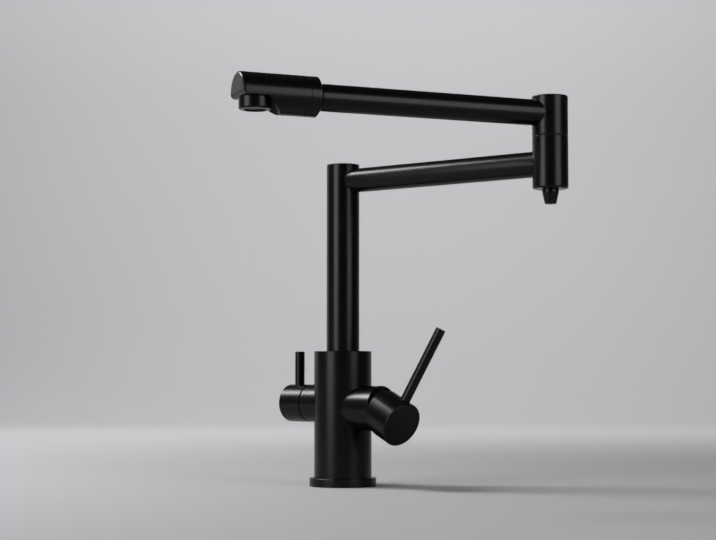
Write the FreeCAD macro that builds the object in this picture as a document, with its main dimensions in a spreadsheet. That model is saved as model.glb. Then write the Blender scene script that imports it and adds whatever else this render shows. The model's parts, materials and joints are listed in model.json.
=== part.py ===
import FreeCAD, Part
import os
import re
import Sketcher
from FreeCAD import Vector

# Three-way kitchen faucet: a single-hole valve body with a mixer lever on its right and a filtered
# water lever on its left, and a swivelling riser that carries a folding two-link spout.
# Frame: the origin is on the deck under the valve body, +Z is up, +X is the mixer lever's side and
# -Y is the front. Lengths are millimetres and angles are degrees.

SIZES = {
    # running and assembly clearances
    "running_play": 0.05,
    "seat_play": 0.05,
    "seal_play": 0.1,
    "end_play": 0.3,
    # deck fixing
    "deck_thickness": 20,
    "flange_ledge": 4.1,
    "flange_height": 7.5,
    "flange_floor": 3,
    "flange_edge": 0.9,
    "base_seal_clearance": 2.5,
    "base_seal_rim": 4.1,
    "base_seal_thickness": 1.5,
    "shank_radius": 16,
    "shank_collar_step": 1,
    "shank_collar_height": 8,
    "shank_bore": 13.5,
    "shank_length": 55,
    "shank_engagement": 12,
    "washer_outer": 27,
    "rubber_washer_thickness": 3,
    "clamp_washer_thickness": 2,
    "lock_nut_flats": 42,
    "lock_nut_height": 10,
    # valve body
    "body_radius": 25,
    "body_rise": 45.6,
    "body_edge": 0.5,
    "hose_chamber_radius": 14,
    "hose_chamber_top": 40,
    "inlet_radius": 4.5,
    "inlet_depth": 12,
    "inlet_circle": 7.5,
    "inlet_angle": 120,
    "supply_way_radius": 2.2,
    "supply_way_offset": 5,
    "port_way_radius": 1.4,
    # mixer branch and cartridge, along the branch axis from the body axis
    "mixer_drop": 3.8,
    "branch_wall": 3.4,
    "branch_edge": 0.4,
    "mixer_seat": 22,
    "cartridge_radius": 14,
    "cartridge_seal_thickness": 1,
    "cartridge_base_thickness": 2.5,
    "cartridge_wall": 1.5,
    "cartridge_neck_thickness": 2,
    "fixed_disc_thickness": 3,
    "disc_film": 0.05,
    "disc_edge_play": 0.77,
    "moving_disc_thickness": 4.45,
    "mixing_chamber_wall": 0.8,
    "mixing_chamber_depth": 1,
    "mixing_chamber_drop": 1.5,
    "carrier_flange_thickness": 2.5,
    "carrier_shoulder_play": 0.2,
    "carrier_neck": 9.5,
    "mixer_nut_land": 2,
    "mixer_nut_play": 0.5,
    "mixer_nut_thickness": 3,
    "supply_port_side": 4.4,
    "supply_port_rise": 4.3,
    "outlet_port_drop": 2.5,
    "outlet_port_radius": 2,
    "outlet_way_offset": 8.5,
    # mixer lever, measured from its pivot along the cap axis
    "mixer_turn_angle": -12.5,
    "mixer_lift_angle": 25,
    "pivot_clearance": 0.7,
    "pivot_setback": 4.3,
    "pivot_pin_radius": 1.5,
    "stem_radius": 3.2,
    "stem_length": 27,
    "stem_tip_radius": 2,
    "stem_tip_engagement": 2.3,
    "stem_tip_chamfer": 0.8,
    "stem_tip_length": 3,
    "stem_waist": 1.6,
    "stem_waist_length": 1,
    "stem_taper_length": 2,
    "tip_play": 0.6,
    "tip_contact_depth": 0.6,
    "mixer_cap_wall": 2.2,
    "dome_wall": 1.5,
    "dome_opening_angle": 44.5,
    "dome_play": 0.4,
    "mixer_cap_gap": 0.9,
    "mixer_cap_length": 32.9,
    "cap_edge": 1,
    "cap_rim_edge": 0.4,
    "mixer_rod_position": 23.2,
    "mixer_rod_radius": 4.3,
    "mixer_rod_reach": 86.6,
    "mixer_rod_root": 8,
    "rod_edge": 0.6,
    "mixer_grub_position": 21,
    "grub_radius": 2,
    "grub_length": 8,
    "grub_key_flats": 2,
    "grub_key_depth": 2.5,
    # filter branch and valve, along the branch axis from the body axis
    "filter_height": 71.4,
    "filter_radius": 16.57,
    "filter_branch_reach": 12.7,
    "filter_seat": 14,
    "filter_seal_thickness": 1,
    "filter_housing_radius": 10,
    "filter_housing_recess": 3.7,
    "filter_cavity": 8,
    "filter_disc_thickness": 3,
    "filter_port_offset": 5,
    "filter_port_radius": 1.6,
    "filter_slot_depth": 1.2,
    "filter_way_offset": 7.5,
    "filter_flange_thickness": 3,
    "filter_stem_radius": 5,
    "filter_spline_radius": 4,
    "filter_spline_recess": 1.7,
    "filter_spline_grip": 6,
    "filter_cap_gap": 1.1,
    "filter_cap_length": 24.4,
    "filter_cap_wall": 3.07,
    "filter_cap_depth": 3.2,
    "filter_rod_inset": 10.2,
    "filter_rod_radius": 4.25,
    "filter_rod_reach": 45.8,
    "filter_rod_root": 5,
    # riser and its swivel
    "riser_angle": 5.45,
    "riser_radius": 14.3,
    "riser_wall": 2,
    "riser_above_arm": 14.7,
    "riser_edge": 0.5,
    "riser_cap_thickness": 5,
    "slip_ring_thickness": 0.8,
    "slip_ring_inset": 0.1,
    "slip_ring_play": 0.5,
    "spigot_radius": 11.5,
    "spigot_wall": 3.5,
    "spigot_tail": 3.8,
    "spigot_grip": 17,
    "o_ring_thickness": 1.9,
    "o_ring_groove_width": 2.4,
    "o_ring_spacing": 6.7,
    "screw_drop": 18.5,
    "screw_radius": 2.5,
    "screw_groove_depth": 1.5,
    "screw_groove_width": 5.6,
    "screw_head_recess": 3,
    "screw_key_flats": 2.5,
    "screw_key_depth": 3,
    # lower arm, filtered water tube and nozzle
    "arm_radius": 10.45,
    "arm_wall": 1.45,
    "braze_gap": 0.02,
    "lower_arm_height": 266,
    "lower_arm_length": 211,
    "filter_tube_radius": 4,
    "filter_tube_bore": 3,
    "filter_tube_bend": 9,
    "filter_socket_depth": 6,
    "nozzle_drop": 11.9,
    "nozzle_top_radius": 6.7,
    "nozzle_tip_radius": 4.6,
    "nozzle_straight": 2.5,
    "nozzle_thread_radius": 6,
    "nozzle_socket_floor": 1.9,
    # elbow hub
    "elbow_angle": -119.55,
    "hub_radius": 14.4,
    "hub_wall": 2.1,
    "hub_below_arm": 20.9,
    "seam_above_arm": 21.2,
    "hub_above_arm": 13.9,
    "hub_edge": 0.7,
    "hub_foot_edge": 1.6,
    "seam_edge": 0.4,
    "hub_plug_thickness": 5.9,
    "pivot_base_thickness": 10.2,
    "spindle_radius": 9.5,
    "spindle_wall": 3,
    "spindle_length": 14.8,
    "elbow_washer_thickness": 0.8,
    "elbow_washer_inset": 0.6,
    "elbow_land_length": 10,
    "elbow_o_ring_first": 3.6,
    "elbow_o_ring_pitch": 3.8,
    "ring_thickness": 1.2,
    "ring_groove_depth": 0.8,
    "ring_reach": 1.7,
    "ring_gap": 4,
    "hub_cap_thickness": 4.4,
    # upper arm and spout, along the arm from the elbow axis
    "arm_above_seam": 18.8,
    "spout_reach": 251,
    "spout_radius": 15.45,
    "collar_taper": 3.2,
    "collar_length": 8,
    "spout_back": 40,
    "collar_lip": 0.4,
    "collar_seam_edge": 0.3,
    "spout_socket_depth": 8,
    "spout_nose": 14.5,
    "spout_edge": 2,
    "spout_nose_round": 4.6,
    "spout_nose_crease": 0.15,
    "spout_way_radius": 5,
    "spout_way_rise": 4,
    "spout_flat_drop": 3.4,
    "spout_relief_top": 16,
    "spout_relief_bottom": 19,
    "aerator_radius": 12.4,
    "aerator_drop": 12.6,
    "aerator_edge": 1.6,
    "aerator_step": 1.3,
    "aerator_thread_length": 3.7,
    "aerator_wall": 1.4,
    "aerator_lip_reach": 1.3,
    "aerator_lip_height": 1.2,
    "aerator_washer_thickness": 1,
    "aerator_washer_bore": 8,
    "aerator_insert_height": 8,
    "aerator_hole": 0.9,
    "aerator_inner_circle": 3.1,
    "aerator_outer_circle": 6.3,
}
# Radii, heights and stations that follow from the sizes
DERIVED = {
    # deck fixing and valve body
    "flange_radius": "body_radius + flange_ledge",
    "base_seal_inner": "shank_radius + base_seal_clearance",
    "base_seal_outer": "flange_radius - base_seal_rim",
    "shank_collar_radius": "shank_radius + shank_collar_step",
    "shank_top": "flange_floor + shank_engagement",
    "nut_seat": "deck_thickness + rubber_washer_thickness + clamp_washer_thickness",
    "body_top": "filter_height + body_rise",
    # mixer cartridge, along the branch axis from the body axis
    "mixer_height": "filter_height - mixer_drop",
    "mixer_nut_radius": "cartridge_radius + mixer_nut_land",
    "mixer_radius": "mixer_nut_radius + branch_wall",
    "cartridge_cavity": "cartridge_radius - cartridge_wall",
    "supply_port_height": "mixer_height + supply_port_rise",
    "outlet_port_height": "mixer_height - outlet_port_drop",
    "seal_face": "mixer_seat + cartridge_seal_thickness",
    "disc_seat": "seal_face + cartridge_base_thickness",
    "disc_face": "disc_seat + fixed_disc_thickness",
    "moving_face": "disc_face + disc_film",
    "moving_back": "moving_face + moving_disc_thickness",
    "carrier_back": "moving_back + end_play",
    "carrier_shoulder": "carrier_back + carrier_flange_thickness",
    "cartridge_neck": "carrier_shoulder + carrier_shoulder_play",
    "cartridge_end": "cartridge_neck + cartridge_neck_thickness",
    "mixer_nut_bore": "carrier_neck + mixer_nut_play",
    "mixer_nut_end": "cartridge_end + mixer_nut_thickness",
    "pivot": "mixer_nut_end + pivot_clearance",
    "mixer_branch_end": "pivot + pivot_setback",
    # mixer lever, along the cap axis from the pivot
    "stem_tip": "pivot - moving_back + stem_tip_engagement",
    "tip_swing": "(pivot - moving_back + tip_contact_depth) * sin(mixer_lift_angle)",
    "moving_disc_radius": "cartridge_cavity - tip_swing - disc_edge_play",
    "mixing_chamber_radius": "moving_disc_radius - mixing_chamber_drop - mixing_chamber_wall",
    "tip_pocket_radius": "stem_tip_radius + tip_play",
    "mixer_rim": "pivot_setback + mixer_cap_gap",
    "dome_clear": "mixer_radius - mixer_cap_wall",
    "dome_radius": "dome_clear - dome_play",
    # filter valve and lever, along the branch axis from the body axis
    "filter_branch_end": "body_radius + filter_branch_reach",
    "filter_disc_seat": "filter_seat + filter_seal_thickness",
    "filter_disc_face": "filter_disc_seat + filter_disc_thickness",
    "filter_moving_back": "filter_disc_face + disc_film + filter_disc_thickness",
    "filter_shoulder": "filter_moving_back + filter_flange_thickness",
    "filter_housing_end": "filter_branch_end - filter_housing_recess",
    "filter_spline_start": "filter_branch_end - filter_spline_recess",
    "filter_rim": "filter_branch_end + filter_cap_gap",
    "filter_cap_floor": "filter_rim + filter_cap_depth",
    "filter_stem_end": "filter_cap_floor + filter_spline_grip",
    "filter_grub_position": "filter_cap_floor + filter_spline_grip / 2",
    "filter_cap_end": "filter_rim + filter_cap_length",
    "filter_cap_cavity": "filter_radius - filter_cap_wall",
    "filter_rod_position": "filter_cap_end - filter_rod_inset",
    # riser and its swivel
    "riser_bottom": "body_top + slip_ring_thickness",
    "riser_top": "lower_arm_height + riser_above_arm",
    "riser_bore": "riser_radius - riser_wall",
    "slip_ring_bore": "spigot_radius + slip_ring_play",
    "swivel_bore": "spigot_radius + running_play",
    "spigot_bore": "spigot_radius - spigot_wall",
    "screw_height": "body_top - screw_drop",
    "screw_groove_floor": "spigot_radius - screw_groove_depth",
    "lower_o_ring_height": "screw_height - o_ring_spacing",
    "upper_o_ring_height": "screw_height + o_ring_spacing",
    "swivel_bottom": "lower_o_ring_height - spigot_tail",
    "socket_floor": "swivel_bottom - filter_socket_depth",
    "arm_bore": "arm_radius - arm_wall",
    # elbow hub and nozzle
    "hub_bore": "hub_radius - hub_wall",
    "hub_bottom": "lower_arm_height - hub_below_arm",
    "hub_plug_top": "hub_bottom + hub_plug_thickness",
    "nozzle_tip": "hub_bottom - nozzle_drop",
    "nozzle_socket": "hub_bottom + nozzle_socket_floor",
    "hub_seam": "lower_arm_height + seam_above_arm",
    "spindle_bore": "spindle_radius - spindle_wall",
    "upper_hub_bottom": "hub_seam + elbow_washer_thickness",
    "land_top": "upper_hub_bottom + elbow_land_length",
    "ring_bottom": "land_top + end_play",
    "upper_arm_height": "hub_seam + arm_above_seam",
    "hub_top": "upper_arm_height + hub_above_arm",
    # spout, along the upper arm from the elbow axis
    "spout_end": "spout_reach + spout_nose",
    "collar_end": "spout_reach - spout_back",
    "collar_shoulder": "collar_end - collar_length",
    "collar_start": "collar_shoulder - collar_taper",
    "spout_socket_end": "collar_end + spout_socket_depth",
    "aerator_thread": "aerator_radius - aerator_step",
    "aerator_bore": "aerator_thread - aerator_wall",
    "aerator_lip": "aerator_bore - aerator_lip_reach",
    "thread_top": "aerator_thread_length - spout_flat_drop",
    "aerator_socket_top": "thread_top + aerator_washer_thickness",
}
AERATOR_INNER_HOLES = 6
AERATOR_OUTER_HOLES = 12
HEXAGON_SIDE_COUNT = 6
QUARTER_TURN = "90"
X_AXIS = "1; 0; 0"
Y_AXIS = "0; 1; 0"
Z_AXIS = "0; 0; 1"

doc = FreeCAD.newDocument("kitchen_faucet")
sheet = doc.addObject("Spreadsheet::Sheet", "Sizes")
for row, (alias, size) in enumerate(SIZES.items(), start=1):
    sheet.set(f"A{row}", alias)
    sheet.set(f"B{row}", str(size))
    sheet.setAlias(f"B{row}", alias)
doc.recompute()
pieces = []


def named(formula):
    """The formula down to its sizes, each written as the spreadsheet cell that holds it."""
    def cell(match):
        word = match.group()
        if word in DERIVED:
            return f"({named(DERIVED[word])})"
        return f"Sizes.{word}" if word in SIZES else word
    return re.sub(r"[a-z][a-z_]*", cell, formula)


def value(formula):
    return float(sheet.evalExpression(named(formula)))


def bind(thing, attribute, formula):
    thing.setExpression(attribute, named(formula))


def shift(x="0", y="0", z="0"):
    turn = f"create(<<rotation>>; create(<<vector>>; {Z_AXIS}); 0)"
    return f"create(<<placement>>; create(<<vector>>; {x}; {y}; {z}); {turn})"


def swing(axis, angle):
    turn = f"create(<<rotation>>; create(<<vector>>; {axis}); {angle})"
    return f"create(<<placement>>; create(<<vector>>; 0; 0; 0); {turn})"


def place(thing, frame):
    if frame:
        bind(thing, "Placement", " * ".join(frame))
    return thing


def piece(label, shape, frame=()):
    """Names a finished sub-part and puts it in its place."""
    shape.Label = label
    place(shape, frame)
    pieces.append(shape)
    return shape


def origin_plane(body, role):
    return next(item for item in body.Origin.OriginFeatures if item.Role == role)


def new_sketch(body, name, role):
    sketch = body.newObject("Sketcher::SketchObject", name)
    sketch.AttachmentSupport = [(origin_plane(body, role), "")]
    sketch.MapMode = "FlatFace"
    return sketch


def turned(name, outline):
    """A body turned about Z from the corners of its half section, each (radius, height)."""
    body = doc.addObject("PartDesign::Body", name)
    sketch = new_sketch(body, f"{name}_section", "XZ_Plane")
    corners = [Vector(value(radius), value(height), 0) for radius, height in outline]
    count = len(corners)
    following = [(index + 1) % count for index in range(count)]
    sketch.addGeometry([Part.LineSegment(corners[i], corners[following[i]]) for i in range(count)])
    sketch.addConstraint([Sketcher.Constraint("Coincident", i, 2, following[i], 1) for i in range(count)])
    for index, (radius, height) in enumerate(outline):
        for kind, formula, start in (
            ("DistanceX", radius, corners[index].x),
            ("DistanceY", height, corners[index].y),
        ):
            number = sketch.addConstraint(Sketcher.Constraint(kind, -1, 1, index, 1, start))
            bind(sketch, f"Constraints[{number}]", formula)
    turn = body.newObject("PartDesign::Revolution", f"{name}_turn")
    turn.Profile = sketch
    turn.ReferenceAxis = (sketch, ["V_Axis"])
    turn.Angle = 360
    return body


def rounded(body, radius, *rims):
    """Rounds the circular edges of a turned body that lie at each rim's (radius, height)."""
    doc.recompute()
    base = body.Tip
    wanted = [(value(rim_radius), value(height)) for rim_radius, height in rims]
    edges = []
    for number, edge in enumerate(base.Shape.Edges, start=1):
        if not isinstance(edge.Curve, Part.Circle):
            continue
        spot = (edge.Curve.Radius, edge.Curve.Center.z)
        if any(Vector(*spot, 0).isEqual(Vector(*rim, 0), 1e-5) for rim in wanted):
            edges.append(f"Edge{number}")
    fillet = body.newObject("PartDesign::Fillet", f"{body.Name}_round_{len(body.Group)}")
    fillet.Base = (base, edges)
    bind(fillet, "Radius", radius)
    return body


def cylinder(name, radius, length, *frame):
    solid = doc.addObject("Part::Cylinder", name)
    bind(solid, "Radius", radius)
    bind(solid, "Height", length)
    return place(solid, frame)


def box(name, length, width, height, *frame):
    solid = doc.addObject("Part::Box", name)
    bind(solid, "Length", length)
    bind(solid, "Width", width)
    bind(solid, "Height", height)
    return place(solid, frame)


def hexagon(name, flats, height, *frame):
    solid = doc.addObject("Part::Prism", name)
    solid.Polygon = HEXAGON_SIDE_COUNT
    bind(solid, "Circumradius", f"{flats} / 2 / cos(180 / {HEXAGON_SIDE_COUNT})")
    bind(solid, "Height", height)
    return place(solid, frame)


def ball(name, radius, *frame):
    solid = doc.addObject("Part::Sphere", name)
    bind(solid, "Radius", radius)
    return place(solid, frame)


def ring(name, radius, thickness, *frame):
    solid = doc.addObject("Part::Torus", name)
    bind(solid, "Radius1", radius)
    bind(solid, "Radius2", f"{thickness} / 2")
    return place(solid, frame)


def cut(name, base, *tools):
    for number, tool in enumerate(tools, start=1):
        result = doc.addObject("Part::Cut", f"{name}_cut_{number}")
        result.Base = base
        result.Tool = tool
        base = result
    return base


def fuse(name, *solids):
    result = doc.addObject("Part::MultiFuse", f"{name}_joined")
    result.Shapes = list(solids)
    result.Refine = True
    return result


def group(name, *solids):
    result = doc.addObject("Part::Compound", f"{name}_set")
    result.Links = list(solids)
    return result


def washer(label, bore, outer, bottom, top, frame=()):
    section = [(bore, bottom), (outer, bottom), (outer, top), (bore, top)]
    return piece(label, turned(label, section), frame)


def groove(radius, floor, middle, width):
    """Outline corners of a groove in a shaft, met on the way up."""
    low = f"{middle} - {width} / 2"
    high = f"{middle} + {width} / 2"
    return [(radius, low), (floor, low), (floor, high), (radius, high)]


# Frames: turned pieces have their axis along Z in each of these
MIXER = [shift(z="mixer_height"), swing(Y_AXIS, QUARTER_TURN)]
MIXER_TURNED = [shift(z="mixer_height"), swing(X_AXIS, "mixer_turn_angle"), swing(Y_AXIS, QUARTER_TURN)]
LEVER = [
    shift(x="pivot", z="mixer_height"),
    swing(X_AXIS, "mixer_turn_angle"),
    swing(Y_AXIS, f"{QUARTER_TURN} + mixer_lift_angle"),
]
FILTER = [shift(z="filter_height"), swing(Y_AXIS, f"-{QUARTER_TURN}")]
RISER = [swing(Z_AXIS, "riser_angle")]
ELBOW = RISER + [shift(x="lower_arm_length")]
UPPER_ARM = ELBOW + [swing(Z_AXIS, "elbow_angle")]
SPOUT = UPPER_ARM + [shift(z="upper_arm_height"), swing(Y_AXIS, QUARTER_TURN)]
AERATOR = UPPER_ARM + [shift(x="spout_reach", z="upper_arm_height")]
ALONG_X = swing(Y_AXIS, QUARTER_TURN)
ALONG_MINUS_X = swing(Y_AXIS, f"-{QUARTER_TURN}")
ALONG_Y = swing(X_AXIS, f"-{QUARTER_TURN}")


def make_deck_fixing():
    """Flange, gasket and threaded shank, and the nut and washers that clamp them to the deck.

    The shank's collar centres it in the deck hole and holds the flange up against the body.
    """
    flange = turned("base_flange", [
        ("shank_radius + running_play", "0"),
        ("base_seal_inner", "0"),
        ("base_seal_inner", "base_seal_thickness"),
        ("base_seal_outer", "base_seal_thickness"),
        ("base_seal_outer", "0"),
        ("flange_radius", "0"),
        ("flange_radius", "flange_height"),
        ("body_radius + seat_play", "flange_height"),
        ("body_radius + seat_play", "flange_floor"),
        ("shank_radius + running_play", "flange_floor"),
    ])
    piece("base_flange", rounded(flange, "flange_edge", ("flange_radius", "flange_height")))
    washer(
        "base_seal", "base_seal_inner + seal_play", "base_seal_outer - seal_play",
        "0", "base_seal_thickness",
    )
    piece("mounting_shank", turned("mounting_shank", [
        ("shank_bore", "-shank_length"),
        ("shank_radius", "-shank_length"),
        ("shank_radius", "-shank_collar_height"),
        ("shank_collar_radius", "-shank_collar_height"),
        ("shank_collar_radius", "0"),
        ("shank_radius", "0"),
        ("shank_radius", "shank_top"),
        ("shank_bore", "shank_top"),
    ]))
    washer_bore = "shank_radius + end_play"
    rubber_face = "-deck_thickness - rubber_washer_thickness"
    washer("rubber_washer", washer_bore, "washer_outer", rubber_face, "-deck_thickness")
    washer("clamp_washer", washer_bore, "washer_outer", "-nut_seat", rubber_face)
    nut_frame = shift(z="-nut_seat - lock_nut_height")
    blank = hexagon("lock_nut_blank", "lock_nut_flats", "lock_nut_height", nut_frame)
    bore = cylinder("lock_nut_bore", "shank_radius + running_play", "lock_nut_height", nut_frame)
    piece("lock_nut", cut("lock_nut", blank, bore))


def body_waterways():
    """Drillings of the valve body: hot and cold to the mixer, its outlet, and the filter's line."""
    tools = []
    inlets = {"hot": "inlet_angle / 2", "cold": "-inlet_angle / 2", "filter": "180"}
    for name, angle in inlets.items():
        frame = [swing(Z_AXIS, angle), shift(x="inlet_circle", z="hose_chamber_top")]
        tools.append(cylinder(f"{name}_inlet", "inlet_radius", "inlet_depth", *frame))
    supply_x = "inlet_circle * cos(inlet_angle / 2)"
    supply_rise = "supply_port_height - hose_chamber_top"
    for name, side in (("hot", ""), ("cold", "-")):
        rise = shift(x=supply_x, y=f"{side}supply_way_offset", z="hose_chamber_top")
        tools.append(cylinder(f"{name}_rise", "supply_way_radius", supply_rise, rise))
        across = [shift(x=supply_x, y=f"{side}supply_port_side", z="supply_port_height"), ALONG_X]
        tools.append(cylinder(f"{name}_port", "port_way_radius", f"mixer_seat - {supply_x}", *across))
    mixed = [shift(x="outlet_way_offset", z="outlet_port_height"), ALONG_X]
    tools.append(cylinder("mixed_port", "outlet_port_radius", "mixer_seat - outlet_way_offset", *mixed))
    mixed_rise = shift(x="outlet_way_offset", z="outlet_port_height")
    mixed_length = "swivel_bottom - outlet_port_height"
    tools.append(cylinder("mixed_rise", "supply_way_radius", mixed_length, mixed_rise))
    low_port = "filter_height - filter_port_offset"
    high_port = "filter_height + filter_port_offset"
    filter_rise = shift(x="-filter_way_offset", z="hose_chamber_top")
    rise_length = f"{low_port} - hose_chamber_top"
    tools.append(cylinder("filter_rise", "supply_way_radius", rise_length, filter_rise))
    filter_in = [shift(x="-filter_way_offset", z=low_port), ALONG_MINUS_X]
    way_in_length = "filter_seat - filter_way_offset"
    tools.append(cylinder("filter_way_in", "filter_port_radius", way_in_length, *filter_in))
    filter_out = [shift(z=high_port), ALONG_MINUS_X]
    tools.append(cylinder("filter_way_out", "filter_port_radius", "filter_seat", *filter_out))
    out_length = f"swivel_bottom - ({high_port})"
    tools.append(cylinder("filter_out_rise", "supply_way_radius", out_length, shift(z=high_port)))
    return tools


def make_valve_body():
    """Turned body with a branch on each side, bored for the two valves and the riser swivel."""
    trunk = turned("body_trunk", [
        ("0", "flange_floor"),
        ("body_radius", "flange_floor"),
        ("body_radius", "body_top"),
        ("0", "body_top"),
    ])
    rounded(trunk, "body_edge", ("body_radius", "body_top"))
    branches = []
    for name, radius, end, frame in (
        ("mixer_branch", "mixer_radius", "mixer_branch_end", MIXER),
        ("filter_branch", "filter_radius", "filter_branch_end", FILTER),
    ):
        arm = turned(name, [("0", "0"), (radius, "0"), (radius, end), ("0", end)])
        branches.append(place(rounded(arm, "branch_edge", (radius, end)), frame))
    blank = fuse("valve_body", trunk, *branches)
    shank_hole = cylinder(
        "shank_hole", "shank_radius + running_play", "shank_engagement", shift(z="flange_floor"),
    )
    hose_chamber = cylinder(
        "hose_chamber", "hose_chamber_radius", "hose_chamber_top - flange_floor", shift(z="flange_floor"),
    )
    swivel_hole = cylinder(
        "swivel_hole", "swivel_bore", "body_top - swivel_bottom", shift(z="swivel_bottom"),
    )
    tube_socket = cylinder(
        "tube_socket", "filter_tube_radius + running_play", "filter_socket_depth", shift(z="socket_floor"),
    )
    cartridge_hole = cylinder(
        "cartridge_hole", "cartridge_radius + seat_play", "mixer_branch_end - mixer_seat",
        *MIXER, shift(z="mixer_seat"),
    )
    nut_hole = cylinder(
        "nut_hole", "mixer_nut_radius + seat_play", "mixer_branch_end - cartridge_end",
        *MIXER, shift(z="cartridge_end"),
    )
    filter_hole = cylinder(
        "filter_hole", "filter_housing_radius + seat_play", "filter_branch_end - filter_seat",
        *FILTER, shift(z="filter_seat"),
    )
    screw_hole = cylinder(
        "screw_hole", "screw_radius + seat_play", "body_radius", shift(z="screw_height"), ALONG_Y,
    )
    holes = [shank_hole, hose_chamber, swivel_hole, tube_socket]
    holes += [cartridge_hole, nut_hole, filter_hole, screw_hole]
    piece("valve_body", cut("valve_body", blank, *holes, *body_waterways()))


def port_tools(name, bottom, top):
    """Hot, cold and outlet ports through a disc of the mixer cartridge."""
    ports = (
        ("hot", "-supply_port_rise", "supply_port_side", "port_way_radius"),
        ("cold", "-supply_port_rise", "-supply_port_side", "port_way_radius"),
        ("mixed", "outlet_port_drop", "0", "outlet_port_radius"),
    )
    length = f"{top} - {bottom}"
    return [
        cylinder(f"{name}_{port}", radius, length, shift(x=x, y=y, z=bottom))
        for port, x, y, radius in ports
    ]


def ported_disc(label, radius, bottom, top):
    blank = cylinder(f"{label}_blank", radius, f"{top} - {bottom}", shift(z=bottom))
    return piece(label, cut(label, blank, *port_tools(label, bottom, top)), MIXER)


def make_mixer_cartridge():
    """Ceramic disc cartridge that the lever turns and tilts, held by a ring nut under a dome."""
    ported_disc("mixer_cartridge_seal", "cartridge_radius - seal_play", "mixer_seat", "seal_face")
    ported_disc("mixer_cartridge_base", "cartridge_radius", "seal_face", "disc_seat")
    ported_disc("mixer_fixed_disc", "cartridge_cavity - running_play", "disc_seat", "disc_face")
    neck = "carrier_neck + running_play"
    piece("mixer_cartridge_housing", turned("mixer_cartridge_housing", [
        ("cartridge_cavity", "disc_seat"),
        ("cartridge_radius", "disc_seat"),
        ("cartridge_radius", "cartridge_end"),
        (neck, "cartridge_end"),
        (neck, "cartridge_neck"),
        ("cartridge_cavity", "cartridge_neck"),
    ]), MIXER)
    washer("mixer_nut", "mixer_nut_bore", "mixer_nut_radius", "cartridge_end", "mixer_nut_end", MIXER)

    disc = cylinder(
        "moving_disc_blank", "moving_disc_radius", "moving_disc_thickness", shift(z="moving_face"),
    )
    chamber = cylinder(
        "mixing_chamber", "mixing_chamber_radius", "mixing_chamber_depth",
        shift(x="mixing_chamber_drop", z="moving_face"),
    )
    pocket_depth = "(stem_tip_engagement + end_play)"
    pocket = cylinder(
        "tip_pocket", "tip_pocket_radius", pocket_depth, shift(z=f"moving_back - {pocket_depth}"),
    )
    raised = MIXER_TURNED + [shift(x="-tip_swing")]
    piece("mixer_moving_disc", cut("mixer_moving_disc", disc, chamber, pocket), raised)

    carrier = turned("carrier_blank", [
        ("0", "carrier_back"),
        ("cartridge_cavity - running_play", "carrier_back"),
        ("cartridge_cavity - running_play", "carrier_shoulder"),
        ("carrier_neck", "carrier_shoulder"),
        ("carrier_neck", "mixer_branch_end"),
        ("0", "mixer_branch_end"),
    ])
    half_stem = "(stem_radius / cos(mixer_lift_angle) + end_play)"
    slot_up = f"((pivot - carrier_back) * tan(mixer_lift_angle) + {half_stem})"
    slot_down = f"(pivot_setback * tan(mixer_lift_angle) + {half_stem})"
    half_width = "(stem_radius + end_play)"
    slot = box(
        "stem_slot", f"{slot_up} + {slot_down}", f"2 * {half_width}", "mixer_branch_end - carrier_back",
        shift(x=f"-{slot_up}", y=f"-{half_width}", z="carrier_back"),
    )
    across = [shift(y="-carrier_neck", z="pivot"), ALONG_Y]
    pin_hole = cylinder("pin_hole", "pivot_pin_radius + seat_play", "2 * carrier_neck", *across)
    piece("mixer_carrier", cut("mixer_carrier", carrier, slot, pin_hole), MIXER_TURNED)
    half_pin = "(carrier_neck - end_play)"
    pin = cylinder("mixer_pivot_pin", "pivot_pin_radius", f"2 * {half_pin}")
    piece("mixer_pivot_pin", pin, MIXER_TURNED + [shift(y=f"-{half_pin}", z="pivot"), ALONG_Y])

    band = ball("dome_band", "dome_radius", shift(z="pivot"))
    bind(band, "Angle1", "asin(pivot_setback / dome_radius)")
    bind(band, "Angle2", "dome_opening_angle")
    skirt = cylinder(
        "dome_skirt", "mixer_nut_radius", "pivot_clearance + pivot_setback", shift(z="mixer_nut_end"),
    )
    hollow = ball("dome_hollow", "dome_radius - dome_wall", shift(z="pivot"))
    piece("mixer_dome", cut("mixer_dome", fuse("mixer_dome", band, skirt), hollow), MIXER)


def grub_screw(label, seat, frame):
    """A set screw that clamps a lever cap to its stem, from the side away from the rod."""
    blank = cylinder(f"{label}_blank", "grub_radius", "grub_length")
    key_floor = shift(z="grub_length - grub_key_depth")
    key = hexagon(f"{label}_key", "grub_key_flats", "grub_key_depth", key_floor)
    piece(label, cut(label, blank, key), frame + [shift(z=seat)])


def lever_rod(label, radius, root, reach, frame):
    rod = turned(label, [("0", root), (radius, root), (radius, reach), ("0", reach)])
    piece(label, rounded(rod, "rod_edge", (radius, reach)), frame)


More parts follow.
